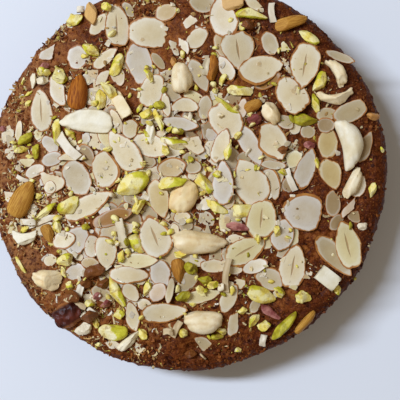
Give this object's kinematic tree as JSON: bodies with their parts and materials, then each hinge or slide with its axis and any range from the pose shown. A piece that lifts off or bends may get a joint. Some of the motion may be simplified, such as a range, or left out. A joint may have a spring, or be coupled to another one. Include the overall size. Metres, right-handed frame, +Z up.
{
  "type": "jaggery cake",
  "caption": "Round uncut jaggery cake with a dark baked crust, covered on top with almond slices, cashew halves, pistachio pieces and a raisin.",
  "frame": {"origin": "middle of the flat base, on the surface the cake rests on", "axes": "+Z up out of the topped face; +X to the right and +Y to the far side as the cake is seen from above"},
  "size_m": [0.2034, 0.2007, 0.0527],
  "materials": {
    "crust": "dark brown baked crust, slightly glossy, with baked-on nut slices",
    "cashew": "cream to beige roasted nut, satin",
    "almond": "orange brown nut skin, matt, streaked lengthwise",
    "pistachio": "yellow green nut, satin, purple brown skin in places",
    "raisin": "dark wrinkled glossy dried fruit"
  },
  "bodies": {
    "root": {"almond_half_01": "almond", "almond_half_02": "almond", "almond_half_03": "almond", "almond_half_04": "almond", "almond_half_05": "almond", "almond_half_06": "almond", "almond_half_07": "almond", "almond_half_08": "almond", "almond_half_09": "almond", "almond_half_10": "almond", "cake": "crust", "cashew_01": "cashew", "cashew_02": "cashew", "cashew_03": "cashew", "cashew_04": "cashew", "cashew_05": "cashew", "cashew_06": "cashew", "cashew_07": "cashew", "cashew_08": "cashew", "cashew_09": "cashew", "cashew_10": "cashew", "cashew_11": "cashew", "cashew_12": "cashew", "cashew_13": "cashew", "cashew_14": "cashew", "cashew_15": "cashew", "cashew_16": "cashew", "pistachio_01": "pistachio", "pistachio_02": "pistachio", "pistachio_03": "pistachio", "pistachio_04": "pistachio", "pistachio_05": "pistachio", "pistachio_06": "pistachio", "pistachio_07": "pistachio", "pistachio_08": "pistachio", "pistachio_09": "pistachio", "pistachio_10": "pistachio", "pistachio_11": "pistachio", "pistachio_12": "pistachio", "pistachio_13": "pistachio", "pistachio_14": "pistachio", "pistachio_15": "pistachio", "pistachio_16": "pistachio", "pistachio_17": "pistachio", "pistachio_18": "pistachio", "pistachio_19": "pistachio", "pistachio_20": "pistachio", "pistachio_21": "pistachio", "raisin_01": "raisin"}
  },
  "joints": []
}
